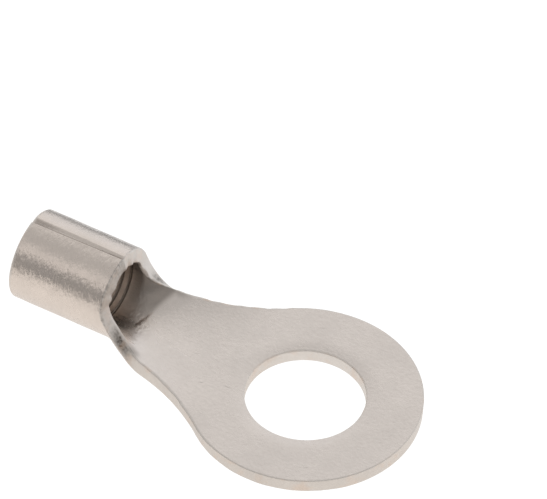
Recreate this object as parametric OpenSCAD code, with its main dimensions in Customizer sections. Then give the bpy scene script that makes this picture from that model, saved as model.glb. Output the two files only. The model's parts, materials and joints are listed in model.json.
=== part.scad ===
// Non-insulated crimp ring terminal for 4 to 6 mm2 wire and an M6 or 1/4 in stud.
// One sheet of tin-plated copper: a flat ring tongue, a throat that closes up, and a rolled barrel
// with a brazed butt seam on top. Millimetres. The origin is the stud-hole centre on the underside,
// the barrel runs along -X and Z points up out of the ring.

/* [Ring tongue] */
// Thickness of the sheet
sheet_t = 0.85; // [0.7:0.01:0.95]
// Diameter of the stud hole
stud_d = 6.7; // [6.4:0.05:7.1]
// Outer diameter of the ring
ring_d = 13.0; // [12.4:0.1:13.6]
// Length over everything, ring edge to barrel end
overall_len = 24.0; // [23.2:0.1:25]
// Width of the tongue at its narrowest
waist_w = 5.78; // [5.5:0.02:6.2]
// Radius of the long hollow curve between ring and throat
neck_r = 10.8; // [10.2:0.05:12]
// Radius punched round the top rim of the stud hole
rim_roll = 0.12; // [0.05:0.01:0.2]

/* [Barrel] */
// Outer diameter of the barrel
barrel_od = 5.25; // [5.0:0.05:5.5]
// Length of the closed barrel
barrel_len = 5.85; // [5.4:0.05:6.3]
// Width of the brazed seam groove at the wire end
seam_w_rear = 0.38; // [0.2:0.01:0.45]
// Width of the brazed seam groove at the throat end
seam_w_front = 0.17; // [0.1:0.01:0.25]
// Depth of the seam groove
seam_depth = 0.11; // [0.06:0.01:0.2]
// Bevel that guides the wire into the barrel
entry_bevel = 0.2; // [0.1:0.01:0.3]

/* [Grip grooves in the bore] */
// Distance of the first groove from the throat end
grip_first = 0.53; // [0.4:0.01:0.7]
// Distance between the two grooves
grip_pitch = 0.47; // [0.35:0.01:0.6]
// Width of each groove
grip_w = 0.12; // [0.08:0.01:0.16]
// Depth of each groove
grip_depth = 0.06; // [0.03:0.01:0.1]

/* [Throat] */
// Radius where the barrel's front edge turns down into the tongue's side
wing_r = 1.4; // [1.25:0.05:1.7]
// How far past the barrel's end the throat starts to open
open_start = 0.19; // [0.1:0.01:0.3]
// Length over which most of the throat opens out
open_len = 2.9; // [2.6:0.1:3.3]
// Share of the roll that lingers along the tongue as a slight cup
cup_share = 0.34; // [0.1:0.02:0.4]
// Length over which the cup dies out
cup_len = 7.3; // [6:0.1:7.3]

/* [Hidden] */
eps = 0.5;                                  // cutters reach this far past what they cut
lap = 0.4;                                  // the throat is rooted this far inside the barrel wall and tongue
ease_pow = 2.5;                             // how quickly the rolled section relaxes
cup_pow = 1.5;                              // how quickly the slight cup dies out
root_gap = 0.02;                            // the throat lies this far inside the faces it is rooted in
touch_lap = 0.005;                          // the neck curve bites this far into the ring, for a clean corner
arc_step = 8;                               // degrees between stations round the wing radius
neck_steps = 28;                            // stations between the wing radius and the flat tongue
across = 44;                                // strips across the sheet
to_deg = 180 / PI;
tin = [0.80, 0.78, 0.76];

ring_r = ring_d / 2;
outer_r = barrel_od / 2;
bore_r = outer_r - sheet_t;
mid_r = outer_r - sheet_t / 2;
rear_x = ring_r - overall_len;
mouth_x = rear_x + barrel_len;
open_x = mouth_x + open_start;
flat_x = open_x + cup_len;
throat_half_t = sheet_t / 2 - root_gap;

// Centre of the long hollow curve, which touches the ring and the waist
neck_y = waist_w / 2 + neck_r;
neck_gap = ring_r + neck_r - touch_lap;
neck_x = -sqrt(pow(neck_gap, 2) - pow(neck_y, 2));
touch_x = neck_x * ring_r / neck_gap;
touch_y = neck_y * ring_r / neck_gap;

// Centre of the wing radius, which touches the barrel's front edge and the long curve
wing_x = mouth_x + wing_r;
wing_y = neck_y - sqrt(pow(neck_r - wing_r, 2) - pow(wing_x - neck_x, 2));
wing_end = 360 - atan2(neck_y - wing_y, wing_x - neck_x);
wing_steps = ceil((wing_end - 180) / arc_step);
leave_x = neck_x + neck_r * cos(wing_end);

// Half width of the flat blank along the long curve
function neck_half(x) = neck_y - sqrt(pow(neck_r, 2) - pow(x - neck_x, 2));

// Stations of the throat: place along the part and half width of the sheet there
function wing_angle(i) = 180 + (wing_end - 180) * i / wing_steps;
function wing_half(a) = wing_y + wing_r * sin(a);
function wing_place(a) = wing_x + wing_r * cos(a);
function neck_place(i) = leave_x + (flat_x + lap - leave_x) * i / neck_steps;
function stations() = concat(
    [[mouth_x - lap, wing_y - root_gap]],
    [for (i = [0 : wing_steps]) [wing_place(wing_angle(i)), wing_half(wing_angle(i)) - root_gap]],
    [for (i = [1 : neck_steps]) [neck_place(i), neck_half(neck_place(i)) - root_gap]]
);

// One at the barrel, nought where the tongue lies flat
function relax(t) = t <= 0 ? 1 : t >= 1 ? 0 : pow(1 - t, ease_pow) * (1 + ease_pow * t);
function cup(t) = t <= 0 ? 1 : t >= 1 ? 0 : pow(1 - t, cup_pow);
function bend_at(x) = ((1 - cup_share) * relax((x - open_x) / open_len)
                       + cup_share * cup((x - open_x) / cup_len)) / mid_r;

// Point of the rolled sheet: x along the part, w across the flat blank, side 1 inside and -1 outside
function bent(x, w, k, off) = [x, sin(k * w * to_deg) * (1 / k - off),
                               sheet_t / 2 + 1 / k - cos(k * w * to_deg) * (1 / k - off)];
function flat(x, w, off) = [x, w, sheet_t / 2 + off];
function skin(x, w, side) = bend_at(x) > 0 ? bent(x, w, bend_at(x), side * throat_half_t)
                                           : flat(x, w, side * throat_half_t);
function row(s, side) = [for (j = [0 : across]) skin(s[0], s[1] * (2 * j / across - 1), side)];
function sheet_points(st) = concat([for (s = st) each row(s, 1)], [for (s = st) each row(s, -1)]);

// Corner numbers of the sheet: station i, strip j, skin 0 inside and 1 outside
function at(i, j, skin_no, n) = (skin_no * n + i) * (across + 1) + j;
function quad(a, b, c, d) = [[a, b, c], [a, c, d]];
function top_faces(n) = [for (i = [0 : n - 2], j = [0 : across - 1])
    each quad(at(i, j, 0, n), at(i, j + 1, 0, n), at(i + 1, j + 1, 0, n), at(i + 1, j, 0, n))];
function under_faces(n) = [for (i = [0 : n - 2], j = [0 : across - 1])
    each quad(at(i, j, 1, n), at(i + 1, j, 1, n), at(i + 1, j + 1, 1, n), at(i, j + 1, 1, n))];
function side_faces(n) = [for (i = [0 : n - 2])
    each concat(
        quad(at(i, 0, 0, n), at(i + 1, 0, 0, n), at(i + 1, 0, 1, n), at(i, 0, 1, n)),
        quad(at(i, across, 0, n), at(i, across, 1, n), at(i + 1, across, 1, n), at(i + 1, across, 0, n)))];
function end_faces(n) = [for (j = [0 : across - 1])
    each concat(
        quad(at(0, j, 0, n), at(0, j, 1, n), at(0, j + 1, 1, n), at(0, j + 1, 0, n)),
        quad(at(n - 1, j, 0, n), at(n - 1, j + 1, 0, n), at(n - 1, j + 1, 1, n), at(n - 1, j, 1, n)))];

// Cylinder along +X from x0
module rod(x0, len, r1, r2) {
    translate([x0, 0, outer_r])
        rotate([0, 90, 0])
            cylinder(h = len, r1 = r1, r2 = r2, $fn = 96);
}

// The sheet where it goes from rolled to flat
module throat() {
    st = stations();
    n = len(st);
    polyhedron(
        points = sheet_points(st),
        faces = concat(top_faces(n), under_faces(n), side_faces(n), end_faces(n)),
        convexity = 6
    );
}

// Flat ring and the tongue back to where the throat starts to rise
module tongue() {
    difference() {
        union() {
            cylinder(h = sheet_t, r = ring_r, $fn = 144);
            linear_extrude(height = sheet_t)
                difference() {
                    polygon([[flat_x, -ring_r], [touch_x, -touch_y], [0, 0], [touch_x, touch_y], [flat_x, ring_r]]);
                    for (s = [-1, 1])
                        translate([neck_x, s * neck_y])
                            circle(r = neck_r, $fn = 360);
                }
        }
        translate([0, 0, -eps])
            cylinder(h = sheet_t + 2 * eps, d = stud_d, $fn = 96);
        rim_cutter();
    }
}

// Rounds the top rim of the stud hole
module rim_cutter() {
    translate([0, 0, sheet_t - rim_roll])
        rotate_extrude($fn = 96)
            difference() {
                translate([stud_d / 2 - rim_roll, 0])
                    square([2 * rim_roll, 2 * rim_roll]);
                translate([stud_d / 2 + rim_roll, 0])
                    circle(r = rim_roll, $fn = 32);
            }
}

// Rolled barrel with its bore, entry bevel, grip grooves and seam
module barrel() {
    difference() {
        rod(rear_x, barrel_len, outer_r, outer_r);
        rod(rear_x - eps, barrel_len + 2 * eps, bore_r, bore_r);
        rod(rear_x - entry_bevel, 2 * entry_bevel, bore_r + 2 * entry_bevel, bore_r);
        for (i = [0, 1])
            rod(mouth_x - grip_first - i * grip_pitch - grip_w / 2, grip_w, bore_r + grip_depth,
                bore_r + grip_depth);
        translate([0, 0, 2 * outer_r - seam_depth])
            linear_extrude(height = seam_depth + eps)
                polygon([
                    [rear_x - eps, -seam_w_rear / 2],
                    [mouth_x + eps, -seam_w_front / 2],
                    [mouth_x + eps, seam_w_front / 2],
                    [rear_x - eps, seam_w_rear / 2]
                ]);
    }
}

module ring_terminal() {
    color(tin)
        union() {
            tongue();
            throat();
            barrel();
        }
}

ring_terminal();
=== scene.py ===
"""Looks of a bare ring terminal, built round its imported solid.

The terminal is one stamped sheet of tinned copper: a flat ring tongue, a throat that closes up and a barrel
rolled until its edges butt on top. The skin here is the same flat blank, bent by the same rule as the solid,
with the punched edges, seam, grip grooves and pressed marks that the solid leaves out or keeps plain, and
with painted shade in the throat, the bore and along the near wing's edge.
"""

import json
import logging
import math
from dataclasses import dataclass, field
from enum import Enum

import bmesh
import bpy
import numpy as np
from mathutils import Matrix, Vector


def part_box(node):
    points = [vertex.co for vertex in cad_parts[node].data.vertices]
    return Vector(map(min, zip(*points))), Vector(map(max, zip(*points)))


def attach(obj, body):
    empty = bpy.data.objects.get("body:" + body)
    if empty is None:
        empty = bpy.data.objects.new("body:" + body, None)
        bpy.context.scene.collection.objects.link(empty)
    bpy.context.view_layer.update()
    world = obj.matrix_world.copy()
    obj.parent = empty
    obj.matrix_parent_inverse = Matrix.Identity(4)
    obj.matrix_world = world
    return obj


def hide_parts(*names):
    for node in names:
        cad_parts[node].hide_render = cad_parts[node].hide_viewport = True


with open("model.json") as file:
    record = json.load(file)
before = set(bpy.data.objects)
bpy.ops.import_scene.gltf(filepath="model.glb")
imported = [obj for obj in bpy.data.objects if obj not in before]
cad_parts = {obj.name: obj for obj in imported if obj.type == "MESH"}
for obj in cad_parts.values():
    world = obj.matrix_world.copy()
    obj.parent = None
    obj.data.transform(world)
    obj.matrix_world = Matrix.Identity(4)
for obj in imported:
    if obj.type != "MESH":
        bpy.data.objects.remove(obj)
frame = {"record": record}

log = logging.getLogger("ring_terminal")

Tone = tuple[float, float, float]
Stop = tuple[float, float, float, float]
Heading = tuple[float, float]
Socket = bpy.types.NodeSocket

MM = 0.001
BLACK: Tone = (0.0, 0.0, 0.0)
NODE = "ring_terminal"
# Curvature, per metre, below which the sheet counts as flat
FLAT_BEND = 1e-3
# Steps of an edge's section: degrees round the rolled rim, shares down the cut, degrees round the corner
RIM_ANGLES = (10, 22, 36, 50, 64, 78, 90)
CUT_SHARES = (0.2, 0.4, 0.6, 0.8)
CORNER_ANGLES = (0, 22, 45, 68, 90)


class Rim(Enum):
    """Edges of the sheet, each with its own section."""

    FRONT = "front"
    REAR = "rear"
    HOLE = "hole"


class Grain(Enum):
    """Noises of the finish: how fine each is along x, y and z, per metre, its detail and its useful range."""

    CLOUDS = ((600.0, 600.0, 600.0), 3.0, (0.3, 0.7))
    SPECKS = ((4200.0, 2600.0, 2600.0), 2.0, (0.25, 0.75))
    FLECKS = ((8000.0, 8000.0, 8000.0), 4.0, (0.36, 0.64))
    PATCHES = ((1100.0, 1100.0, 1100.0), 3.0, (0.52, 0.70))
    PEEL = ((5200.0, 5200.0, 5200.0), 2.0, (0.0, 1.0))
    DRAWN = ((9000.0, 3200.0, 3200.0), 3.0, (0.0, 1.0))
    WAVES = ((900.0, 900.0, 900.0), 2.0, (0.0, 1.0))


def smooth(t: np.ndarray) -> np.ndarray:
    """Ease from 0 to 1 with flat ends."""
    t = np.clip(t, 0.0, 1.0)
    return t * t * (3.0 - 2.0 * t)


def rise(v: np.ndarray, start: np.ndarray | float, width: float) -> np.ndarray:
    """Ease from 0 at the start to 1, over a width."""
    return smooth((v - start) / width)


def fall(v: np.ndarray, end: np.ndarray | float, width: float) -> np.ndarray:
    """Ease from 1 to 0 at the end, over a width."""
    return smooth((end - v) / width)


def bell(t: np.ndarray) -> np.ndarray:
    """A smooth hump: 1 at nought, 0 at one and beyond."""
    return 1.0 - smooth(np.abs(t))


def lerp(a: float, b: float, t: np.ndarray) -> np.ndarray:
    """Go from a to b as t goes from 0 to 1."""
    return a + (b - a) * t


@dataclass(frozen=True)
class Gauge:
    """Main sizes of the terminal, read from the frame, in metres.

    Args:
        low: Lowest corner of the solid's box.
        high: Highest corner of the solid's box.
        stud_r: Radius of the stud hole.
        bore_r: Radius of the barrel's bore.
        barrel_len: Length of the closed barrel.
    """

    low: Vector
    high: Vector
    stud_r: float
    bore_r: float
    barrel_len: float

    @classmethod
    def from_frame(cls) -> "Gauge":
        """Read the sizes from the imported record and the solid's box.

        Returns:
            The main sizes.
        """
        low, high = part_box(NODE)
        dims = {m["name"]: m["dims"] for m in frame["record"]["mounts"]}
        return cls(
            low=low,
            high=high,
            stud_r=dims["stud_hole"]["r_mm"] * MM,
            bore_r=dims["wire_barrel"]["r_mm"] * MM,
            barrel_len=dims["wire_barrel"]["length_mm"] * MM,
        )

    @property
    def ring_r(self) -> float:
        """Outer radius of the ring."""
        return self.high.x

    @property
    def barrel_r(self) -> float:
        """Outer radius of the barrel, which touches both the floor and the box's top."""
        return (self.high.z - self.low.z) / 2.0

    @property
    def sheet_t(self) -> float:
        """Thickness of the sheet."""
        return self.barrel_r - self.bore_r

    @property
    def mid_r(self) -> float:
        """Radius of the sheet's middle layer in the barrel."""
        return self.barrel_r - self.sheet_t / 2.0

    @property
    def rear_x(self) -> float:
        """Wire end of the barrel."""
        return self.low.x

    @property
    def mouth_x(self) -> float:
        """Throat end of the closed barrel."""
        return self.low.x + self.barrel_len


@dataclass
class Blank:
    """The flat blank: outline, and the rule that bends it. Places are (x along the part, w across the flat).

    Args:
        gauge: Main sizes.
        waist: Width of the tongue at its narrowest.
        neck_r: Radius of the long hollow curve between ring and throat.
        wing_r: Radius where the barrel's front edge turns down into the tongue's side.
        open_start: How far past the barrel the throat starts to open.
        open_len: Length over which most of it opens out.
        ease_pow: How quickly the roll relaxes.
        cup_share: Share of the roll that lingers as a slight cup.
        cup_len: Length over which the cup dies out.
        cup_pow: How quickly the cup dies out.
    """

    gauge: Gauge
    waist: float = 5.78 * MM
    neck_r: float = 10.8 * MM
    wing_r: float = 1.4 * MM
    open_start: float = 0.19 * MM
    open_len: float = 2.9 * MM
    ease_pow: float = 2.5
    cup_share: float = 0.34
    cup_len: float = 7.3 * MM
    cup_pow: float = 1.5

    def __post_init__(self) -> None:
        """Work out the centres of the outline's arcs."""
        g = self.gauge
        self.neck_y = self.waist / 2.0 + self.neck_r
        reach = g.ring_r + self.neck_r
        self.neck_x = -math.sqrt(reach**2 - self.neck_y**2)
        self.touch_angle = math.atan2(self.neck_y, self.neck_x)
        self.wing_x = g.mouth_x + self.wing_r
        drop = math.sqrt((self.neck_r - self.wing_r) ** 2 - (self.wing_x - self.neck_x) ** 2)
        self.wing_y = self.neck_y - drop
        self.wing_end = 2.0 * math.pi - math.atan2(drop, self.wing_x - self.neck_x)
        self.open_x = g.mouth_x + self.open_start
        self.flat_x = self.open_x + self.cup_len
        self.seam_w = math.pi * g.mid_r

    def bend(self, x: np.ndarray) -> np.ndarray:
        """Curvature of the section: the barrel's own, easing to none in the tongue.

        Args:
            x: Place along the part.

        Returns:
            Curvature at each place, per metre.
        """
        t = np.clip((x - self.open_x) / self.open_len, 0.0, 1.0)
        s = np.clip((x - self.open_x) / self.cup_len, 0.0, 1.0)
        ease = (1.0 - t) ** self.ease_pow * (1.0 + self.ease_pow * t)
        cup = (1.0 - s) ** self.cup_pow
        return (ease + (cup - ease) * self.cup_share) / self.gauge.mid_r

    def rolled(self, x: np.ndarray) -> np.ndarray:
        """Curvature at x as a share of the barrel's own."""
        return self.bend(x) * self.gauge.mid_r

    def place(self, x: np.ndarray, w: np.ndarray, off: np.ndarray) -> np.ndarray:
        """Bend places of the flat blank into space.

        Args:
            x: Place along the part.
            w: Place across the flat blank.
            off: Height over the sheet's middle layer, upwards in the tongue and inwards in the barrel.

        Returns:
            Points, one row each.
        """
        k = self.bend(x)
        curved = k > FLAT_BEND
        safe = np.where(curved, k, 1.0)
        radius = 1.0 / safe
        angle = w * safe
        y = np.where(curved, np.sin(angle) * (radius - off), w)
        lift = np.where(curved, radius - np.cos(angle) * (radius - off), off)
        return np.stack([x, y, lift + self.gauge.sheet_t / 2.0], axis=-1)

    def neck_half(self, x: float, inset: float) -> float:
        """Half width of the blank along the hollow curve, inset from its edge."""
        return self.neck_y - math.sqrt((self.neck_r + inset) ** 2 - (x - self.neck_x) ** 2)

    def neck_normal(self, x: float, w: float) -> Heading:
        """Outward direction of the hollow curve's edge at a place on it."""
        v = Vector((self.neck_x - x, self.neck_y - w)).normalized()
        return v.x, v.y


@dataclass
class Section:
    """Section of a stamped edge at each of its places, as arrays.

    Args:
        inset: How far in from the edge the flat faces stop.
        roll: Depth of the die-rolled rim on the inside.
        corner: Radius of the outside corner.
        lean: How far the inside stands out past the outside.
    """

    inset: np.ndarray
    roll: np.ndarray
    corner: np.ndarray
    lean: np.ndarray

    def rows(self, half: float) -> list[tuple[np.ndarray, np.ndarray]]:
        """Draw the section from inside to outside.

        Args:
            half: Half the thickness of the sheet.

        Returns:
            Rows of (distance out from the inset, height over the sheet's middle layer).
        """
        out: list[tuple[np.ndarray, np.ndarray]] = []
        top = half - self.roll
        low = -half + self.corner
        reach = self.inset + self.lean
        for a in np.radians(RIM_ANGLES):
            out.append((reach * math.sin(a), half - self.roll * (1.0 - math.cos(a))))
        for s in CUT_SHARES:
            out.append((reach - self.lean * s, lerp(top, low, s)))
        for a in np.radians(CORNER_ANGLES):
            out.append((self.inset - self.corner * (1.0 - math.cos(a)), low - self.corner * math.sin(a)))
        return out


@dataclass(frozen=True)
class TearAndShade:
    """A dark patch on the front edge, in millimetres: a fractured face, with painted shade laid over it on
    the near wing.

    Args:
        share: How dark it is at its middle.
        past: How far its middle lies past the mouth.
        reach: Half its length.
        low: Height over the sheet's middle layer where it starts.
        soft: Height over which it grows to its full strength.
    """

    share: float
    past: float
    reach: float
    low: float
    soft: float

    def at(self, past: np.ndarray, up: np.ndarray, lift: np.ndarray | float = 0.0) -> np.ndarray:
        """How dark it is at each distance past the mouth and height, with its start lifted."""
        return self.share * bell((past - self.past) / self.reach) * rise(up, self.low + lift, self.soft)


@dataclass
class Stamping:
    """How the blank's edges came out of the press.

    Args:
        blank: The blank.
        ring_inset: Width of the rolled rim round the ring and tongue.
        mouth_inset: Width of the rolled rim at the barrel's mouth.
        rim_change: How far past the mouth the rim has narrowed to the ring's width.
        entry: Size of the bevel that guides the wire in.
        hole_inset: Width of the rolled rim round the stud hole.
        roll_share: Depth of a rolled rim as a share of its width.
        burr: Radius of a crisp outside corner.
        rear_corner: Radius of the outside corner at the wire end.
        blunt: Radius of the outside corner beside the throat.
        mouth_blunt: How far the mouth's outside corner goes from crisp to blunt, from 0 to 1.
        mouth_lean: How far the mouth's inner rim stands out.
        neck_lean: How far the top of the neck stands out past its underside.
        ring_lean: The same round the ring.
        fleck: How dark the faint flecks are all along the punched edge.
        bead: How uneven the mouth's outside corner is.
        lump: How uneven the cut faces are.
        lump_gain: How much more uneven they are at the mouth.
        mouth_dark: How dark the mouth's edge is, beside the wings and at the top.
        lip_tear_and_shade: Patch where the near wing leaves the mouth, painted shade over the fractured face.
        notch_tear_and_shade: Main patch of the near wing, painted shade over the fractured face.
        notch_climb: How far that patch's lower border climbs along it, in millimetres.
        tail_tear_and_shade: Patch that runs on along the near wing's top, painted shade over the fractured
            face.
        rim_tear: Thin tear along the far wing's top.
        spot_tear: A tear in the middle of the far wing's edge.
        seam_tear: A tear where the seam meets the mouth, by distance from the seam.
        crease: Darkness of the mouth's lower corner, and how much it changes along it.
    """

    blank: Blank
    ring_inset: float = 0.05 * MM
    mouth_inset: float = 0.12 * MM
    rim_change: float = 2.85 * MM
    entry: float = 0.2 * MM
    hole_inset: float = 0.12 * MM
    roll_share: float = 0.88
    burr: float = 0.03 * MM
    rear_corner: float = 0.09 * MM
    blunt: float = 0.17 * MM
    mouth_blunt: float = 0.35
    mouth_lean: float = 0.15 * MM
    neck_lean: float = 0.11 * MM
    ring_lean: float = 0.03 * MM
    fleck: float = 0.07
    bead: float = 0.55
    lump: float = 0.022 * MM
    lump_gain: float = 1.1
    mouth_dark: tuple[float, float] = (0.12, 0.33)
    # The near wing's three patches are painted shade laid over the fractured face
    lip_tear_and_shade: TearAndShade = TearAndShade(0.20, 0.3, 0.45, -0.36, 0.2)
    notch_tear_and_shade: TearAndShade = TearAndShade(0.85, 1.35, 1.15, -0.36, 0.2)
    notch_climb: float = 0.22
    tail_tear_and_shade: TearAndShade = TearAndShade(0.42, 1.9, 1.0, 0.05, 0.25)
    rim_tear: TearAndShade = TearAndShade(0.5, 0.85, 1.15, 0.33, 0.06)
    spot_tear: TearAndShade = TearAndShade(0.66, 0.80, 0.6, -0.32, 0.15)
    seam_tear: TearAndShade = TearAndShade(0.45, 0.0, 0.6, 0.15, 0.15)
    crease: tuple[float, float] = (0.34, 0.2)

    def inset(self, x: np.ndarray) -> np.ndarray:
        """Width of the rolled rim along the front edge."""
        near_mouth = fall(x, self.blank.gauge.mouth_x + self.rim_change, 1.0 * MM)
        return lerp(self.ring_inset, self.mouth_inset, near_mouth)

    @staticmethod
    def beaded(w: np.ndarray) -> np.ndarray:
        """Uneven beads along an edge, from -1 to 1."""
        return np.sin(w / (0.045 * MM) + 2.0 * np.sin(w / (0.13 * MM)))

    def torn_and_shade(self, x: np.ndarray, w: np.ndarray, off: np.ndarray) -> np.ndarray:
        """How dark the front edge is: fractured faces, with painted shade laid over them on the near wing.

        Args:
            x: Place along the part.
            w: Place across the flat blank.
            off: Height over the sheet's middle layer.

        Returns:
            Darkness at each place, from 0 to 1.
        """
        # Lengths are in millimetres from here on
        past, span, up = (x - self.blank.gauge.mouth_x) / MM, np.abs(w) / MM, off / MM
        closed = fall(past, 0.35, 0.2)
        under_rim = 1.0 - 0.75 * rise(up, 0.22, 0.1)
        near = [
            closed * lerp(*self.mouth_dark, rise(span, 4.4, 2.3)),
            closed * (self.crease[0] + self.crease[1] * self.beaded(w)) * fall(up, -0.28, 0.06),
            # Near wing: painted shade laid over the fractured face
            self.lip_tear_and_shade.at(past, up) * under_rim,
            self.notch_tear_and_shade.at(past, up, self.notch_climb * rise(past, 1.2, 0.8)) * under_rim,
            self.tail_tear_and_shade.at(past, up),
        ]
        far = [self.rim_tear.at(past, up), self.spot_tear.at(past, up) * fall(up, 0.24, 0.12)]
        wings = np.where(w < 0.0, np.maximum.reduce(near), np.maximum.reduce(far))
        seam = self.seam_tear.at(span - self.blank.seam_w / MM, up)
        return np.maximum.reduce([wings, seam, np.full_like(x, self.fleck)])

    def section(self, rim: Rim, x: np.ndarray, w: np.ndarray) -> Section:
        """Shape of an edge.

        Args:
            rim: Which edge it is.
            x: Place along the part.
            w: Place across the flat blank.

        Returns:
            The section at each place.
        """
        same = np.ones_like(x)
        if rim is Rim.REAR:
            return Section(self.entry * same, self.entry * same, self.rear_corner * same, 0.0 * same)
        if rim is Rim.HOLE:
            inset = self.hole_inset * same
            return Section(inset, inset * self.roll_share, self.burr * same, 0.0 * same)
        inset = self.inset(x)
        past = x - self.blank.gauge.mouth_x
        blunt = bell((past - 1.35 * MM) / (1.5 * MM))
        lip = self.mouth_blunt * rise(np.abs(w), self.blank.wing_y, 0.5 * MM)
        beads = 1.0 + self.bead * self.beaded(w) * lip
        corner = lerp(self.burr, self.blunt, np.maximum(blunt, lip)) * beads
        top = fall(past, 0.7 * MM, 0.6 * MM)
        neck = rise(past, 1.6 * MM, 1.2 * MM) * fall(x, -1.0 * MM, 3.5 * MM)
        ring = rise(x, -4.5 * MM, 3.0 * MM)
        lumps = np.sin(w / (0.19 * MM) + 1.6 * np.sin(w / (0.43 * MM) + x / (0.3 * MM))) * (1.0 - ring)
        lumps *= 1.0 + self.lump_gain * top
        lean = self.mouth_lean * top + self.neck_lean * neck + self.ring_lean * ring + self.lump * lumps
        return Section(inset, inset * self.roll_share, corner, lean)


# Painted shade: soft dark patches on the inside beside the wings
@dataclass(frozen=True)
class ShadePatch:
    """A soft oval of painted shade on the inside, by its place on the flat blank.

    Args:
        x: Middle of it along the part.
        w: Middle of it across the blank.
        half_x: Half its length.
        half_w: Half its width.
        share: How strong it is.
    """

    x: float
    w: float
    half_x: float
    half_w: float
    share: float

    def at(self, x: np.ndarray, w: np.ndarray) -> np.ndarray:
        """Share of painted shade at each place."""
        return self.share * bell((x - self.x) / self.half_x) * bell((w - self.w) / self.half_w)


@dataclass
class Relief:
    """Marks on the sheet's faces: seam, grip grooves, the former's mark, dished hole, slight waviness, and
    painted shade on the inside.

    Args:
        blank: The blank they are on.
        seam_rear: Width of the seam's sloping wall at the wire end.
        seam_front: The same at the throat.
        seam_shift: How far the seam lies to the far side of the top.
        near_wall: Width of the seam's steep wall.
        seam_depth: Depth of the seam at the wire end.
        seam_least: Share of that depth left however narrow the seam is.
        lip: Height of the bright lip beside the seam.
        seam_dark: Darkness of the line along the seam's steep wall.
        seam_floor_dark: Share of that darkness on the seam's floor at the wire end.
        grips: Distances of the grip grooves behind the throat end.
        grip_w: Width of each groove.
        grip_depth: Depth of each groove.
        mark_x: Distance of the former's mark ahead of the throat end.
        mark_skew: How far the mark runs forward across the sheet.
        mark_bow: How strongly the mark bows, per metre.
        mark_depth: Depth of the mark's step.
        dish: Depth of the dished rim round the stud hole.
        dish_w: Width of the dished rim.
        dish_pow: How quickly the dish dies out.
        wave: Height of the barrel's waviness.
        painted_shade_deep: Share of the painted shade left deep in the bore.
        shade_patches: Smaller patches of painted shade beside the wings.
    """

    blank: Blank
    seam_rear: float = 0.36 * MM
    seam_front: float = 0.16 * MM
    seam_shift: float = 0.10 * MM
    near_wall: float = 0.12 * MM
    seam_depth: float = 0.10 * MM
    seam_least: float = 0.4
    lip: float = 0.006 * MM
    seam_dark: float = 0.62
    seam_floor_dark: float = 0.6
    grips: tuple[float, ...] = (0.53 * MM, 1.0 * MM)
    grip_w: float = 0.16 * MM
    grip_depth: float = 0.05 * MM
    mark_x: float = 1.18 * MM
    mark_skew: float = 0.2
    mark_bow: float = 0.04 / MM
    mark_depth: float = 0.020 * MM
    dish: float = 0.075 * MM
    dish_w: float = 0.85 * MM
    dish_pow: float = 1.8
    wave: float = 0.010 * MM
    # Painted shade inside the throat and bore, and in patches beside the wings
    painted_shade_deep: float = 0.15
    shade_patches: tuple[ShadePatch, ...] = (
        ShadePatch(-9.5 * MM, -2.8 * MM, 0.7 * MM, 0.55 * MM, 0.7),
        ShadePatch(-9.7 * MM, 2.85 * MM, 1.0 * MM, 0.4 * MM, 0.6),
    )

    def seam_width(self, x: np.ndarray) -> np.ndarray:
        """Width of the seam's sloping wall at x."""
        g = self.blank.gauge
        return lerp(self.seam_rear, self.seam_front, np.clip((x - g.rear_x) / g.barrel_len, 0.0, 1.0))

    def across_seam(self, w: np.ndarray) -> np.ndarray:
        """How far a place lies from the seam.

        Args:
            w: Place across the flat blank.

        Returns:
            Distance round the barrel's outside, towards the far side.
        """
        b = self.blank
        scale = b.gauge.barrel_r / b.gauge.mid_r
        return np.where(w > 0, b.seam_w - w, -(b.seam_w + w)) * scale - self.seam_shift

    def ripple(self, x: np.ndarray, w: np.ndarray) -> np.ndarray:
        """Slight waviness of the barrel.

        Args:
            x: Place along the part.
            w: Place across the flat blank.

        Returns:
            Height as a share of the wave's own, from -1 to 1.
        """
        a = np.sin(x / (0.42 * MM) + 1.7 * np.sin(w / (0.9 * MM)))
        b = np.sin(w / (0.37 * MM) + 1.3 * np.sin(x / (0.71 * MM)) + 0.8)
        c = np.sin((x + w) / (0.23 * MM) + 2.1)
        return 0.45 * a + 0.4 * b + 0.15 * c

    def outside(self, x: np.ndarray, w: np.ndarray) -> np.ndarray:
        """Seam, its lip and the waviness of the outside face.

        Args:
            x: Place along the part.
            w: Place across the flat blank.

        Returns:
            How deep the face is pressed in, at each place.
        """
        mouth_x = self.blank.gauge.mouth_x
        width = self.seam_width(x)
        depth = self.seam_depth * lerp(self.seam_least, 1.0, width / self.seam_rear)
        across = self.across_seam(w) + width / 2.0
        far = np.clip(1.0 - across / width, 0.0, 1.0)
        near = smooth(1.0 + across / self.near_wall)
        groove = depth * np.where(across > 0.0, far, near)
        lip = self.lip * bell((across + self.near_wall + 0.04 * MM) / (0.07 * MM))
        closed = x < mouth_x + 0.3 * MM
        wavy = self.wave * self.ripple(x, w) * fall(x, mouth_x + 1.2 * MM, 1.5 * MM)
        return (groove - lip) * closed + wavy * (1.0 - bell(self.across_seam(w) / (0.8 * MM)))

    def outside_dark(self, x: np.ndarray, w: np.ndarray) -> np.ndarray:
        """Dark line along the seam's steep wall, and over its floor at the wire end.

        Args:
            x: Place along the part.
            w: Place across the flat blank.

        Returns:
            Share of darkening at each place.
        """
        g = self.blank.gauge
        width = self.seam_width(x)
        across = self.across_seam(w) + width / 2.0
        wall = bell((across + 0.4 * self.near_wall) / (0.12 * MM))
        floor = rise(across, -self.near_wall, 0.1 * MM) * fall(across, width, 0.15 * MM)
        rear = fall(x, g.rear_x + 2.4 * MM, 1.8 * MM)
        return self.seam_dark * np.maximum(wall, self.seam_floor_dark * floor * rear) * (x < g.mouth_x + 0.2 * MM)

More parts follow.
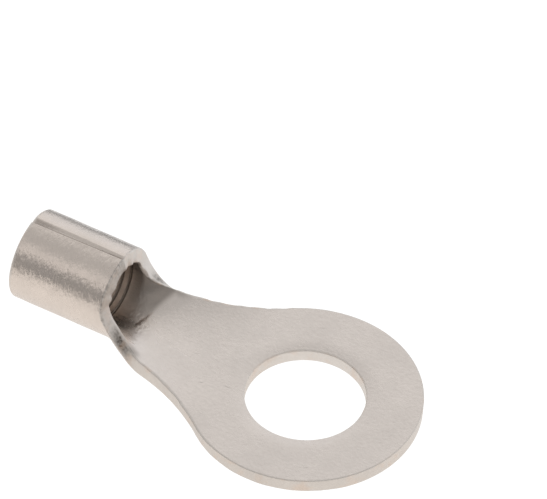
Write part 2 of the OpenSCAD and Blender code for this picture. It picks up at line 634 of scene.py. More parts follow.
    def mark_line(self, w: np.ndarray) -> np.ndarray:
        """Where the former's mark lies along the part, at each place across the sheet."""
        return self.blank.gauge.mouth_x + self.mark_x + self.mark_skew * w + self.mark_bow * w**2

    def grooves(self, x: np.ndarray, width: float) -> np.ndarray:
        """Where the grip grooves are.

        Args:
            x: Place along the part.
            width: Width to give each groove.

        Returns:
            Share of a groove at each place.
        """
        share = np.zeros_like(x)
        for back in self.grips:
            share += bell((x - (self.blank.gauge.mouth_x - back)) / (width / 2.0))
        return share

    def inside(self, x: np.ndarray, w: np.ndarray) -> np.ndarray:
        """Grip grooves, former's mark and dished hole of the inside face.

        Args:
            x: Place along the part.
            w: Place across the flat blank.

        Returns:
            How deep the face is pressed in, at each place.
        """
        line = self.mark_line(w)
        step = fall(x, line, 0.14 * MM) * rise(x, line - 1.0 * MM, 0.9 * MM)
        reach = bell((w - 0.3 * MM) / (1.5 * MM))
        rim = np.clip(1.0 - (np.hypot(x, w) - self.blank.gauge.stud_r) / self.dish_w, 0.0, 1.0)
        grips = self.grooves(x, self.grip_w)
        return self.grip_depth * grips + self.mark_depth * step * reach + self.dish * rim**self.dish_pow

    def painted_shade(self, x: np.ndarray, w: np.ndarray) -> np.ndarray:
        """Painted shade on the inside, behind the former's mark and towards the far side.

        Args:
            x: Place along the part.
            w: Place across the flat blank.

        Returns:
            Share of painted shade at each place.
        """
        # Painted shade: up to the former's mark, growing towards the far side, faint deep in the bore
        deep = fall(x, self.blank.gauge.mouth_x + 0.1 * MM, 0.9 * MM)
        far = rise(w, -0.4 * MM, 2.2 * MM) * lerp(1.0, self.painted_shade_deep, deep)
        pool = fall(x, self.mark_line(w) + 0.12 * MM, 0.45 * MM) * far
        return np.maximum.reduce([pool, *(shade_patch.at(x, w) for shade_patch in self.shade_patches)])


@dataclass
class SheetMesh:
    """Mesh of the whole terminal as one closed skin.

    Args:
        blank: Outline and bend.
        relief: Pressed marks.
        stamping: Sections of the edges.
        strips: Strips across the throat.
        seam_steps: Places on each side of the barrel: up to near the seam, and beside it.
        barrel_steps: Places along the barrel: behind the grip grooves, over them, and up to the mouth.
        throat_steps: Places along the throat's edge: round the wing, and along the neck.
        ring_steps: Places round the ring's outline.
        spoke_shares: Places along each spoke from the ring's outline to the hole.
        bore_warmth: Share of the barrel's colour on its inside.
        far_calm: How much fainter the drawn-out grain is on the barrel's far side.
        name: Name of the piece.
        flat: Places of the blank made so far.
        quads: Faces between them.
    """

    blank: Blank
    relief: Relief
    stamping: Stamping
    strips: int = 80
    seam_steps: tuple[int, int] = (22, 26)
    barrel_steps: tuple[int, int, int] = (40, 36, 5)
    throat_steps: tuple[int, int] = (34, 64)
    ring_steps: int = 160
    spoke_shares: tuple[float, ...] = (
        0.02, 0.09, 0.19, 0.3, 0.41, 0.52, 0.63, 0.73, 0.81, 0.87, 0.92, 0.96, 1.0,
    )
    bore_warmth: float = 0.4
    far_calm: float = 0.45
    name: str = "terminal_sheet"
    flat: list[tuple[float, float]] = field(default_factory=list)
    quads: list[tuple[int, ...]] = field(default_factory=list)

    def seam_columns(self) -> np.ndarray:
        """Space out the barrel's side.

        Returns:
            Places across the blank from the wing's end up to the seam, closer together near the seam.
        """
        b = self.blank
        span = b.seam_w - b.wing_y
        fine = 0.5 * MM
        coarse = np.linspace(0.0, span - fine, self.seam_steps[0])[1:]
        close = span - fine + fine * np.linspace(0.0, 1.0, self.seam_steps[1])[1:]
        return b.wing_y + np.concatenate([coarse, close])

    def barrel_stations(self) -> np.ndarray:
        """Space out the barrel's length.

        Returns:
            Places along the barrel, closer together at the grip grooves.
        """
        g = self.blank.gauge
        behind, over, ahead = self.barrel_steps
        first = g.mouth_x - max(self.relief.grips) - self.relief.grip_w
        last = g.mouth_x - min(self.relief.grips) + self.relief.grip_w
        rear = np.linspace(g.rear_x + self.stamping.entry, first, behind)
        grips = np.linspace(first, last, over)[1:]
        front = np.linspace(last, g.mouth_x - self.stamping.mouth_inset, ahead)[1:]
        return np.concatenate([rear, grips, front])

    def throat_rows(self) -> list[tuple[float, float, Heading]]:
        """Space out the throat.

        Returns:
            Rows of (x, half width, outward direction of the edge).
        """
        b = self.blank
        round_wing, along_neck = self.throat_steps
        rows = []
        for a in np.linspace(math.pi, b.wing_end, round_wing)[1:]:
            e = float(self.stamping.inset(np.array(b.wing_x + b.wing_r * math.cos(a))))
            x = b.wing_x + (b.wing_r + e) * math.cos(a)
            w = b.wing_y + (b.wing_r + e) * math.sin(a)
            rows.append((x, w, (-math.cos(a), -math.sin(a))))
        start = rows[-1][0]
        for x in np.linspace(start, b.flat_x, along_neck)[1:]:
            w = b.neck_half(x, float(self.stamping.inset(np.array(x))))
            rows.append((x, w, b.neck_normal(x, w)))
        return rows

    def add(self, x: float, w: float) -> int:
        """Add a place of the blank and return its number."""
        self.flat.append((float(x), float(w)))
        return len(self.flat) - 1

    def build(self) -> bpy.types.Object:
        """Make the mesh: faces of the blank, then its edges, then both skins in space.

        Returns:
            The piece.
        """
        b = self.blank
        n = self.strips
        u = np.linspace(-1.0, 1.0, n + 1)
        side = self.seam_columns()

        # Closed barrel: columns run from the seam on the near side round to the seam again
        columns = np.concatenate([-side[::-1], u * b.wing_y, side[:-1]])
        count = len(columns)
        lower = len(side)
        rings = [[self.add(x, w) for w in columns] for x in self.barrel_stations()]
        self.close_rings(rings)
        mouth = rings[-1]

        # Throat: rows between the two wings
        row = mouth[lower : lower + n + 1]
        left: list[tuple[int, Heading]] = []
        right: list[tuple[int, Heading]] = []
        for x, half, normal in self.throat_rows():
            fresh = [self.add(x, half * t) for t in u]
            self.quads += [(row[j], fresh[j], fresh[j + 1], row[j + 1]) for j in range(n)]
            left.append((fresh[0], (normal[0], -normal[1])))
            right.append((fresh[-1], normal))
            row = fresh

        # Ring: spokes from its outline in to the hole
        outline = self.ring_outline(row)
        spokes = self.spokes([i for i, _ in outline])
        self.close_rings(spokes)

        # Edge loops with their outward directions
        front = (1.0, 0.0)
        edge = [(mouth[0], front)]
        edge += [(mouth[count - 1 - k], front) for k in range(lower - 1)]
        edge += [(mouth[lower + n], front)] + right
        edge += outline[n + 1 :]
        edge += left[::-1] + [(mouth[lower], front)]
        edge += [(mouth[k], front) for k in range(lower - 1, 0, -1)]
        rear = [(i, (-1.0, 0.0)) for i in rings[0]]
        hole = []
        for i in spokes[-1]:
            v = Vector(self.flat[i]).normalized()
            hole.append((i, (-v.x, -v.y)))
        return self.skin({Rim.FRONT: edge, Rim.REAR: rear, Rim.HOLE: hole})

    def close_rings(self, rings: list[list[int]]) -> None:
        """Lay faces between closed loops of places.

        Args:
            rings: The loops, each as long as the next.
        """
        for a, c in zip(rings, rings[1:]):
            total = len(a)
            self.quads += [(a[j], c[j], c[(j + 1) % total], a[(j + 1) % total]) for j in range(total)]

    def ring_outline(self, row: list[int]) -> list[tuple[int, Heading]]:
        """Outline of the ring, inset from the edge, from the throat's last row round the ring and back.

        Args:
            row: Places of the throat's last row, from the near edge to the far one.

        Returns:
            Numbers and outward directions: the row first, then the far neck, the ring and the near neck.
        """
        b = self.blank
        e = self.stamping.ring_inset
        out = [(i, (0.0, 0.0)) for i in row]
        r = b.gauge.ring_r - e
        touch = b.touch_angle
        neck = np.linspace(b.flat_x, r * math.cos(touch), 5)[1:-1]
        for x in neck:
            w = b.neck_half(x, e)
            out.append((self.add(x, w), b.neck_normal(x, w)))
        for a in np.linspace(touch, -touch, self.ring_steps):
            out.append((self.add(r * math.cos(a), r * math.sin(a)), (math.cos(a), math.sin(a))))
        for x in neck[::-1]:
            w = b.neck_half(x, e)
            nx, ny = b.neck_normal(x, w)
            out.append((self.add(x, -w), (nx, -ny)))
        return out

    def spokes(self, outline: list[int]) -> list[list[int]]:
        """Space out the ring between its outline and the hole.

        Args:
            outline: Places of the outline.

        Returns:
            Loops of places, the outline first.
        """
        inner = self.blank.gauge.stud_r + self.stamping.hole_inset
        loops = [list(outline)]
        for s in self.spoke_shares:
            loop = []
            for i in outline:
                x, w = self.flat[i]
                d = math.hypot(x, w)
                r = d + (inner - d) * s
                loop.append(self.add(x * r / d, w * r / d))
            loops.append(loop)
        return loops

    def face_notes(self, x: np.ndarray, w: np.ndarray) -> dict[str, list[np.ndarray]]:
        """Start the values that the finish reads, with those of the inside and outside faces.

        Args:
            x: Place along the part.
            w: Place across the flat blank.

        Returns:
            For each value's name, its numbers on the inside face and on the outside face.
        """
        none = np.zeros(len(x))
        rolled = self.blank.rolled(x)
        warm_x = self.blank.gauge.mouth_x + 0.6 * MM
        # Darker in the grip grooves inside the bore
        grooves = np.minimum(2.0 * self.relief.grooves(x, 1.6 * self.relief.grip_w), 1.0)
        return {
            "cut_edge": [none, none],
            # Painted shade inside the throat and bore
            "painted_shade": [self.relief.painted_shade(x, w), none],
            "groove_dark": [grooves, self.relief.outside_dark(x, w)],
            "torn_and_shade": [none, none],
            "rolled": [self.bore_warmth * rolled * rise(x, warm_x, 0.8 * MM), rolled],
            "drawn": [none, rolled * (1.0 - self.far_calm * rise(w, 0.0, 1.0 * MM))],
        }

    def skin(self, rims: dict[Rim, list[tuple[int, Heading]]]) -> bpy.types.Object:
        """Put both faces in space and close them along the rims.

        Args:
            rims: Edge loops, each a list of place numbers and outward directions.

        Returns:
            The piece.
        """
        b = self.blank
        half = b.gauge.sheet_t / 2.0
        flat = np.array(self.flat)
        x, w = flat[:, 0], flat[:, 1]
        count = len(flat)
        notes = self.face_notes(x, w)
        painted_shade = notes["painted_shade"][0]
        inside = b.place(x, w, half - self.relief.inside(x, w))
        outside = b.place(x, w, self.relief.outside(x, w) - half)
        points = [inside, outside]
        faces = [tuple(q) for q in self.quads]
        faces += [tuple(i + count for i in reversed(q)) for q in self.quads]
        base = 2 * count
        for rim, loop in rims.items():
            ids = np.array([i for i, _ in loop])
            nx = np.array([n[0] for _, n in loop])
            nw = np.array([n[1] for _, n in loop])
            ex, ew = x[ids], w[ids]
            dip_in = self.relief.inside(ex, ew)
            dip_out = self.relief.outside(ex, ew)
            section = self.stamping.section(rim, ex, ew)
            rolled = b.rolled(ex)
            total = len(ids)
            none = np.zeros(total)
            chain = [ids]
            for d, h in section.rows(half):
                share = (half - h) / (2.0 * half)
                off = h - dip_in * (1.0 - share) ** 2 + dip_out * share**2
                rough = rim is Rim.FRONT and d.max() > 0.0
                points.append(b.place(ex + nx * d, ew + nw * d, off))
                row = {
                    "cut_edge": smooth(1.6 * d / section.inset),
                    # Painted shade carries on a little way round the inside of the edges
                    "painted_shade": painted_shade[ids] * np.clip(1.0 - 3.0 * share, 0.0, 1.0) * (d < section.inset * 0.9),
                    "groove_dark": none,
                    # Fractured faces, with painted shade along the near wing's edge
                    "torn_and_shade": self.stamping.torn_and_shade(ex, ew, off) if rough else none,
                    "rolled": rolled,
                    "drawn": rolled * smooth(share),
                }
                for name, values in row.items():
                    notes[name].append(values)
                chain.append(base + np.arange(total))
                base += total
            chain.append(ids + count)
            for a, c in zip(chain, chain[1:]):
                faces += [
                    (int(a[j]), int(c[j]), int(c[(j + 1) % total]), int(a[(j + 1) % total]))
                    for j in range(total)
                ]
        mesh = self.closed_mesh(np.concatenate(points), faces)
        for name, parts in notes.items():
            layer = mesh.attributes.new(name, "FLOAT", "POINT")
            layer.data.foreach_set("value", np.concatenate(parts).astype(np.float32))
        piece = bpy.data.objects.new(self.name, mesh)
        bpy.context.scene.collection.objects.link(piece)
        return piece

    def closed_mesh(self, points: np.ndarray, faces: list[tuple[int, ...]]) -> bpy.types.Mesh:
        """Make a smooth mesh whose faces all look outwards.

        Args:
            points: Corners, one row each.
            faces: Corner numbers of each face.

        Returns:
            The mesh.
        """
        mesh = bpy.data.meshes.new(self.name)
        mesh.from_pydata(points.tolist(), [], faces)
        skin = bmesh.new()
        skin.from_mesh(mesh)
        bmesh.ops.recalc_face_normals(skin, faces=skin.faces)
        skin.to_mesh(mesh)
        skin.free()
        mesh.shade_smooth()
        return mesh


@dataclass(frozen=True)
class NodeKit:
    """Short ways to add nodes to one material or to the world.

    Args:
        tree: Node tree that they go into.
    """

    tree: bpy.types.NodeTree

    def add(self, kind: str, **settings: str) -> bpy.types.Node:
        """Add a node.

        Args:
            kind: Kind of shader node.
            settings: Its settings by name.

        Returns:
            The node.
        """
        node = self.tree.nodes.new("ShaderNode" + kind)
        for name, choice in settings.items():
            setattr(node, name, choice)
        return node

    def feed(self, goal: Socket, value: Socket | Tone | float) -> None:
        """Link a worked-out value to a socket, or set a plain colour or number on it.

        Args:
            goal: Socket that takes the value.
            value: The value.
        """
        if isinstance(value, bpy.types.NodeSocket):
            self.tree.links.new(value, goal)
        else:
            goal.default_value = (*value, 1.0) if isinstance(value, tuple) else value

    def noted(self, name: str) -> Socket:
        """Read a value kept at the mesh's corners."""
        return self.add("Attribute", attribute_name=name).outputs["Fac"]

    def axes(self, kind: str) -> list[Socket]:
        """Take a place apart.

        Args:
            kind: Kind of coordinate.

        Returns:
            Its x, y and z.
        """
        split = self.add("SeparateXYZ")
        self.feed(split.inputs["Vector"], self.add("TexCoord").outputs[kind])
        return list(split.outputs)

    def noise(self, grain: Grain) -> Socket:
        """Soft noise over the part, between nought and one.

        Args:
            grain: Which noise it is.

        Returns:
            The noise.
        """
        scale, detail, _ = grain.value
        spot = self.add("Mapping")
        spot.inputs["Scale"].default_value = scale
        self.feed(spot.inputs["Vector"], self.add("TexCoord").outputs["Object"])
        node = self.add("TexNoise")
        self.feed(node.inputs["Vector"], spot.outputs["Vector"])
        for name, number in (("Scale", 1.0), ("Detail", detail), ("Roughness", 0.55)):
            node.inputs[name].default_value = number
        return node.outputs["Fac"]

    def graded(self, noise: Socket, grain: Grain, to_low: float, to_high: float) -> Socket:
        """Stretch a noise from its useful range to another."""
        return self.ranged(noise, *grain.value[2], to_low, to_high)

    def math(self, operation: str, one: Socket, other: Socket | float) -> Socket:
        """Work out a value from two others.

        Args:
            operation: What to do with them.
            one: First value.
            other: Second value.

        Returns:
            The result.
        """
        node = self.add("Math", operation=operation)
        self.feed(node.inputs[0], one)
        self.feed(node.inputs[1], other)
        return node.outputs[0]

    def product(self, one: Socket, other: Socket) -> Socket:
        """Multiply two values."""
        return self.math("MULTIPLY", one, other)

    def ranged(
        self, value: Socket, low: float, high: float, to_low: float = 0.0, to_high: float = 1.0
    ) -> Socket:
        """Stretch a value from one range to another.

        Args:
            value: The value.
            low: Start of its range.
            high: End of its range.
            to_low: Start of the new range.
            to_high: End of the new range.

        Returns:
            The value in the new range, kept within it.
        """
        node = self.add("MapRange")
        for name, number in (("From Min", low), ("From Max", high), ("To Min", to_low), ("To Max", to_high)):
            node.inputs[name].default_value = number
        self.feed(node.inputs["Value"], value)
        return node.outputs["Result"]

    def blend(self, share: Socket, under: Socket, over: Socket | float) -> Socket:
        """Go from one value to another as the share rises.

        Args:
            share: How far to go.
            under: Value at nought.
            over: Value at one.

        Returns:
            The value between them.
        """
        node = self.add("Mix")
        for name, value in (("Factor", share), ("A", under), ("B", over)):
            self.feed(node.inputs[name], value)
        return node.outputs["Result"]

    def mix(self, share: Socket, under: Socket | Tone, over: Socket | Tone, way: str = "MIX") -> Socket:
        """Lay one colour over another.

        Args:
            share: How much of the upper colour shows.
            under: The lower colour, worked out or plain.
            over: The upper colour, worked out or plain.
            way: How they blend.

        Returns:
            The blended colour.
        """
        node = self.add("MixRGB", blend_type=way)
        for goal, value in zip(node.inputs, (share, under, over)):
            self.feed(goal, value)
        return node.outputs[0]

    def ramp(self, share: Socket, tones: tuple[Stop, ...]) -> Socket:
        """Turn a share into a tone.

        Args:
            share: Place on the ramp, from 0 to 1.
            tones: Stops of (place, red, green, blue).

        Returns:
            The tone.
        """
        node = self.add("ValToRGB")
        self.feed(node.inputs["Fac"], share)
        stops = node.color_ramp.elements
        while len(stops) > 1:
            stops.remove(stops[-1])
        stops[0].position = tones[0][0]
        stops[0].color = (*tones[0][1:], 1.0)
        for place, *tone in tones[1:]:
            stops.new(place).color = (*tone, 1.0)
        return node.outputs["Color"]

    def bump(self, height: Socket, depth: float) -> bpy.types.Node:
        """Turn a height into a tilt of the surface.

        Args:
            height: Height from 0 to 1.
            depth: How high one is.

        Returns:
            The node, whose result is its output named Normal.
        """
        node = self.add("Bump")
        node.inputs["Strength"].default_value = 1.0
        node.inputs["Distance"].default_value = depth
        self.feed(node.inputs["Height"], height)
        return node


@dataclass(frozen=True)
class Scuff:
    """A fine mark on the top of the tongue.

    Args:
        start: One end, as (x, y).
        end: The other end.
        width: Width of the mark.
        strength: How dark it is, from 0 to 1.
        height: Height of its middle, about that of the tongue's top.
        half_z: How far it reaches above and below that.
        core: Share of it that is at full strength.
    """

    start: tuple[float, float]
    end: tuple[float, float]
    width: float
    strength: float
    height: float = 0.9 * MM
    half_z: float = 0.6 * MM
    core: float = 0.35

    def share(self, kit: NodeKit) -> Socket:
        """Share of the scuff at each place: a soft oval on the top face.

        Args:
            kit: Where its nodes go.

        Returns:
            The share.
        """
        start, end = Vector(self.start), Vector(self.end)
        run = end - start
        middle = (start + end) / 2.0
        node = kit.add("Mapping", vector_type="TEXTURE")
        node.inputs["Location"].default_value = (middle.x, middle.y, self.height)
        node.inputs["Rotation"].default_value = (0.0, 0.0, math.atan2(run.y, run.x))
        node.inputs["Scale"].default_value = (run.length / 2.0 + self.width, self.width, self.half_z)
        kit.feed(node.inputs["Vector"], kit.add("TexCoord").outputs["Object"])
        away = kit.add("VectorMath", operation="LENGTH")
        kit.feed(away.inputs[0], node.outputs["Vector"])
        return kit.ranged(away.outputs["Value"], 1.0, self.core, 0.0, self.strength)


@dataclass(frozen=True)
class TinFinish:
    """Matt tin plating over copper, with fine grain, painted shade in the throat, the bore and along the near
    wing's edge, and light scuffs.

    Args:
        tongue: Colour of the flat tongue.
        barrel: Colour of the barrel, a little warmer.
        bare: Colour of the punched edges.
        painted_shade_tone: Share of the colour left under the painted shade.
        fracture_and_shade: Colour of the fractured faces at the throat, and of the painted shade on the near
            wing's edge.
        copper: Colour of the metal under the plating.
        copper_share: How much of it shows in patches along the punched edges.
        groove_tone: Share of the colour left in the grip grooves and along the seam.
        rough: Roughness of the plating.
        rough_spread: How far clouds lower and raise it.
        rough_edge: Roughness of the punched edges.
        rough_painted_shade: Roughness where the shade is painted.
        mottle: Strength of the cloudy variation in colour.
        speckle: How much of a tear shows, from where it is thin to where it is thick.
        peel_depth: Depth of the finest relief.
        wave_depth: Depth of the broader relief.
        wave_least: Share of the broader relief on the flat tongue.
        draw_gain: How much rougher the grain is round the barrel.
        scuffs: Marks on the tongue.
    """

    tongue: Tone = (0.855, 0.782, 0.727)
    barrel: Tone = (0.85, 0.757, 0.685)
    bare: Tone = (0.86, 0.80, 0.745)
    painted_shade_tone: Tone = (0.47, 0.462, 0.452)
    fracture_and_shade: Tone = (0.075, 0.058, 0.044)
    copper: Tone = (0.84, 0.60, 0.44)
    copper_share: float = 0.28
    groove_tone: Tone = (0.20, 0.18, 0.16)
    rough: float = 0.27
    rough_spread: tuple[float, float] = (0.02, 0.03)
    rough_edge: float = 0.48
    rough_painted_shade: float = 0.46
    mottle: float = 0.05
    speckle: tuple[float, float] = (0.55, 1.12)
    peel_depth: float = 0.017 * MM
    wave_depth: float = 0.03 * MM
    wave_least: float = 0.25
    draw_gain: float = 2.7
    scuffs: tuple[Scuff, ...] = (
        Scuff((-4.22 * MM, -1.77 * MM), (-3.67 * MM, -1.78 * MM), 0.05 * MM, 0.22),
        Scuff((-5.40 * MM, -2.27 * MM), (-5.24 * MM, -2.19 * MM), 0.05 * MM, 0.20),
        Scuff((-6.77 * MM, -0.51 * MM), (-6.53 * MM, -0.38 * MM), 0.06 * MM, 0.10),
        Scuff((-5.52 * MM, -0.30 * MM), (-5.28 * MM, -0.38 * MM), 0.09 * MM, 0.07),
        Scuff((-5.24 * MM, -0.70 * MM), (-5.00 * MM, -0.84 * MM), 0.08 * MM, 0.07),
        Scuff((-5.80 * MM, -0.76 * MM), (-5.58 * MM, -0.84 * MM), 0.09 * MM, 0.06),
        Scuff((-5.52 * MM, -1.04 * MM), (-5.34 * MM, -0.96 * MM), 0.08 * MM, 0.06),
        Scuff((2.60 * MM, -4.90 * MM), (2.95 * MM, -4.62 * MM), 0.05 * MM, 0.10),
        Scuff((-1.90 * MM, 4.70 * MM), (-1.50 * MM, 4.92 * MM), 0.05 * MM, 0.10),
    )

    def material(self) -> bpy.types.Material:
        """Build the node material.

        Returns:
            The material.
        """
        mat = bpy.data.materials.new("matt_tin")
        mat.use_nodes = True
        kit = NodeKit(mat.node_tree)
        shader = mat.node_tree.nodes["Principled BSDF"]
        shader.inputs["Metallic"].default_value = 1.0
        edge, painted_shade = kit.noted("cut_edge"), kit.noted("painted_shade")
        clouds = kit.noise(Grain.CLOUDS)
        drop, climb = self.rough_spread
        rough = kit.graded(clouds, Grain.CLOUDS, self.rough - drop, self.rough + climb)
        rough = kit.blend(edge, rough, self.rough_edge)
        kit.feed(shader.inputs["Roughness"], kit.blend(painted_shade, rough, self.rough_painted_shade))
        kit.feed(shader.inputs["Base Color"], self.colour(kit, edge, painted_shade, clouds))
        kit.feed(shader.inputs["Normal"], self.grain(kit, kit.noted("drawn")))
        return mat

    def colour(self, kit: NodeKit, edge: Socket, painted_shade: Socket, clouds: Socket) -> Socket:
        """Lay the colours over one another: plating, cut edge, clouds, painted shade, the darker seam and
        grooves, tears with painted shade on the near wing, copper and scuffs.

        Args:
            kit: Where the nodes go.
            edge: Share of cut edge.
            painted_shade: Share of painted shade.
            clouds: Cloudy noise.

        Returns:
            The colour.
        """
        tint = kit.mix(kit.noted("rolled"), self.tongue, self.barrel)
        tint = kit.mix(edge, tint, self.bare)
        specks = kit.graded(kit.noise(Grain.SPECKS), Grain.SPECKS, 0.0, self.mottle)
        tint = kit.mix(kit.graded(clouds, Grain.CLOUDS, 0.0, self.mottle), tint, BLACK)
        tint = kit.mix(specks, tint, BLACK)
        # Painted shade in the throat and bore
        tint = kit.mix(painted_shade, tint, self.painted_shade_tone, "MULTIPLY")
        # Darker in the grip grooves and along the seam
        tint = kit.mix(kit.noted("groove_dark"), tint, self.groove_tone, "MULTIPLY")
        flecks = kit.graded(kit.noise(Grain.FLECKS), Grain.FLECKS, *self.speckle)
        # Fractured faces, with painted shade along the near wing's edge
        tint = kit.mix(kit.product(kit.noted("torn_and_shade"), flecks), tint, self.fracture_and_shade)
        patches = kit.graded(kit.noise(Grain.PATCHES), Grain.PATCHES, 0.0, self.copper_share)
        tint = kit.mix(kit.product(edge, patches), tint, self.copper)
        for scuff in self.scuffs:
            tint = kit.mix(scuff.share(kit), tint, BLACK)
        return tint

    def grain(self, kit: NodeKit, drawn: Socket) -> Socket:
        """Fine relief: an even orange-peel on the tongue, drawn out round the barrel.

        Args:
            kit: Where the nodes go.
            drawn: Share of drawn-out grain.

        Returns:
            The tilt of the surface.
        """
        streaks = kit.graded(kit.noise(Grain.DRAWN), Grain.DRAWN, 0.0, self.draw_gain)
        fine = kit.bump(kit.blend(drawn, kit.noise(Grain.PEEL), streaks), self.peel_depth)
        swell = kit.ranged(drawn, 0.0, 1.0, self.wave_least, 1.0)
        broad = kit.bump(kit.product(kit.noise(Grain.WAVES), swell), self.wave_depth)
        kit.feed(broad.inputs["Normal"], fine.outputs["Normal"])
        return broad.outputs["Normal"]


@dataclass
class Studio:
    """Pale floor, soft light and camera.

    Args:
        azimuth: Turn of the camera round the part, in degrees.
        elevation: Height of the camera over the floor, in degrees.
        roll: Tilt of the camera about its own line of sight, in degrees.
        distance: Distance of the camera.
        pan: Shift of the camera across and up.
        lens: Focal length, in millimetres.
        sensor: Width of the camera's sensor, in millimetres.
        floor_half: Half the side of the floor.
        paper_drop: How far the floor that the camera sees lies below the part.
        paper_glow: How bright it is.
        table_drop: How far the table that the metal mirrors lies below the part.
        backdrop: Plain tone behind the part in a level view.
        sky_tones: Light from the near horizon (0) over the top (0.5) to the far one (1).
        table_tones: What the metal mirrors of the table, by distance across it in millimetres.
        card_tones: Share of that left by a dark card on the table's far side.
        card_ends: Where the card fades in and out along the table, in millimetres.
    """

    azimuth: float = 28.842
    elevation: float = 45.839
    roll: float = 1.775
    distance: float = 495.1 * MM
    pan: tuple[float, float] = (1.734 * MM, -8.533 * MM)
    lens: float = 592.3
    sensor: float = 36.0
    floor_half: float = 30000.0 * MM
    paper_drop: float = 0.02 * MM
    paper_glow: float = 1.1
    table_drop: float = 0.03 * MM
    backdrop: Tone = (1.0, 1.0, 1.0)
    sky_tones: tuple[Stop, ...] = (
        (0.0, 0.30, 0.30, 0.30),
        (0.16, 0.30, 0.30, 0.30),
        (0.26, 0.85, 0.83, 0.82),
        (0.40, 0.50, 0.50, 0.50),
        (0.55, 0.50, 0.50, 0.50),
        (0.75, 0.80, 0.80, 0.80),
        (0.90, 0.85, 0.87, 0.90),
        (1.0, 0.70, 0.72, 0.75),
    )
    table_tones: tuple[Stop, ...] = (
        (-100.0, 0.35, 0.34, 0.33),
        (-30.0, 0.75, 0.73, 0.71),
        (0.0, 0.90, 0.88, 0.86),
        (10.0, 0.90, 0.93, 0.96),
        (120.0, 0.90, 0.93, 0.96),
    )
    card_tones: tuple[Stop, ...] = (
        (13.0, 1.0, 1.0, 1.0),
        (18.0, 0.05, 0.05, 0.05),
        (45.0, 0.10, 0.10, 0.10),
        (80.0, 1.0, 1.0, 1.0),
    )
    card_ends: tuple[float, ...] = (-70.0, -50.0, -16.0, -9.0)

    def camera(self) -> bpy.types.Object:
        """Add the camera and make it the scene's own.

        Returns:
            The camera.
        """
        a, e, r = (math.radians(v) for v in (self.azimuth, self.elevation, self.roll))
        back = Vector((math.sin(a) * math.cos(e), -math.cos(a) * math.cos(e), math.sin(e)))
        right = Vector((math.cos(a), math.sin(a), 0.0))
        up = back.cross(right)
        across = right * math.cos(r) + up * math.sin(r)
        upward = up * math.cos(r) - right * math.sin(r)
        data = bpy.data.cameras.new("camera")
        data.sensor_width = self.sensor
        data.lens = self.lens
        data.clip_start = 10.0 * MM
        data.clip_end = 100000.0 * MM
        camera = bpy.data.objects.new("camera", data)
        bpy.context.scene.collection.objects.link(camera)
        turn = Matrix((across, upward, back)).transposed()
        spot = back * self.distance - across * self.pan[0] - upward * self.pan[1]
        camera.matrix_world = Matrix.Translation(spot) @ turn.to_4x4()
        bpy.context.scene.camera = camera
        return camera

    def sheet(self, name: str, drop: float) -> tuple[bpy.types.Object, NodeKit, bpy.types.Node]:
        """Add a large level sheet with a glowing finish.

        Args:
            name: Name of the sheet.
            drop: How far it lies below the part's underside.

        Returns:
            The sheet, a way to add nodes to its finish, and the node that glows.
        """
        mesh = bpy.data.meshes.new(name)
        s = self.floor_half
        mesh.from_pydata([(-s, -s, -drop), (s, -s, -drop), (s, s, -drop), (-s, s, -drop)], [], [(0, 1, 2, 3)])
        sheet = bpy.data.objects.new(name, mesh)
        bpy.context.scene.collection.objects.link(sheet)
        mat = bpy.data.materials.new(name)
        mat.use_nodes = True
        mat.node_tree.nodes.clear()
        kit = NodeKit(mat.node_tree)
        glow = kit.add("Emission")
        kit.feed(kit.add("OutputMaterial").inputs["Surface"], glow.outputs["Emission"])
        mesh.materials.append(mat)
        return sheet, kit, glow

    def floor(self) -> None:
        """Add the pale paper that the camera sees and the softer table that the metal mirrors."""
        paper, _, paper_glow = self.sheet("paper", self.paper_drop)
        paper_glow.inputs["Strength"].default_value = self.paper_glow
        for flag in ("glossy", "diffuse", "transmission", "shadow"):
            setattr(paper, f"visible_{flag}", False)
        table, kit, table_glow = self.sheet("table", self.table_drop)
        table.visible_camera = False
        along, across, _ = kit.axes("Object")
        fade_in, full, fade_out, gone = (v * MM for v in self.card_ends)
        card = kit.product(kit.ranged(along, fade_in, full), kit.ranged(along, gone, fade_out))
        bare = self.across_table(kit, across, self.table_tones)
        shaded = self.across_table(kit, across, self.card_tones)
        kit.feed(table_glow.inputs["Color"], kit.mix(card, bare, shaded, "MULTIPLY"))

    @staticmethod
    def across_table(kit: NodeKit, value: Socket, tones: tuple[Stop, ...]) -> Socket:
        """Turn a distance across the table into a tone.

        Args:
            kit: Where the nodes go.
            value: The distance.
            tones: Stops of (distance in millimetres, red, green, blue).

        Returns:
            The tone.
        """
        low, high = tones[0][0], tones[-1][0]
        share = kit.ranged(value, low * MM, high * MM)
        return kit.ramp(share, tuple(((y - low) / (high - low), *tone) for y, *tone in tones))

    def world(self) -> None:
        """Add the soft surrounding light, which changes from the near horizon over the top to the far one."""
        world = bpy.data.worlds.new("studio")
        bpy.context.scene.world = world
        world.use_nodes = True
        kit = NodeKit(world.node_tree)
        _, y, z = kit.axes("Generated")
        turn = kit.math("ARCTAN2", z, kit.math("MULTIPLY", y, -1.0))
        tone = kit.ramp(kit.math("DIVIDE", turn, math.pi), self.sky_tones)
        seen = kit.mix(kit.add("LightPath").outputs["Is Camera Ray"], tone, self.backdrop)
        kit.feed(world.node_tree.nodes["Background"].inputs["Color"], seen)


def main() -> None:
    """Build the terminal and its studio."""
    logging.basicConfig(level=logging.INFO, format="%(name)s: %(message)s")
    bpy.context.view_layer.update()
    blank = Blank(Gauge.from_frame())
    sheet = SheetMesh(blank, Relief(blank), Stamping(blank))
    piece = sheet.build()
    piece.data.materials.append(TinFinish().material())
    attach(piece, "root")
    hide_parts(NODE)
    log.info("%s: %d corners, %d faces", piece.name, len(piece.data.vertices), len(piece.data.polygons))
    studio = Studio()
    studio.camera()
    studio.floor()
    studio.world()
    bpy.context.scene.view_settings.view_transform = "Standard"


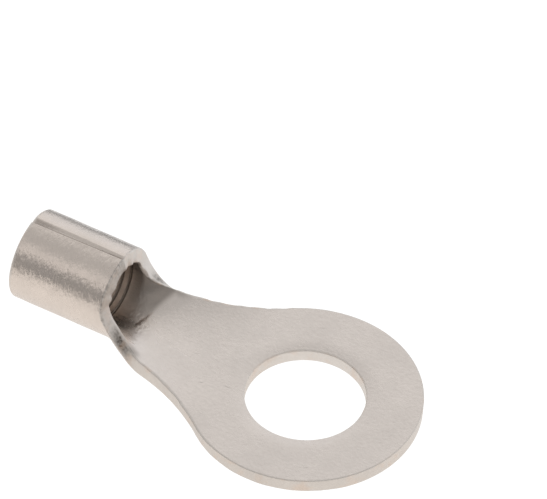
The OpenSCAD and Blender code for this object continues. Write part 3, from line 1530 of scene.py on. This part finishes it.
if __name__ == "__main__":
    main()
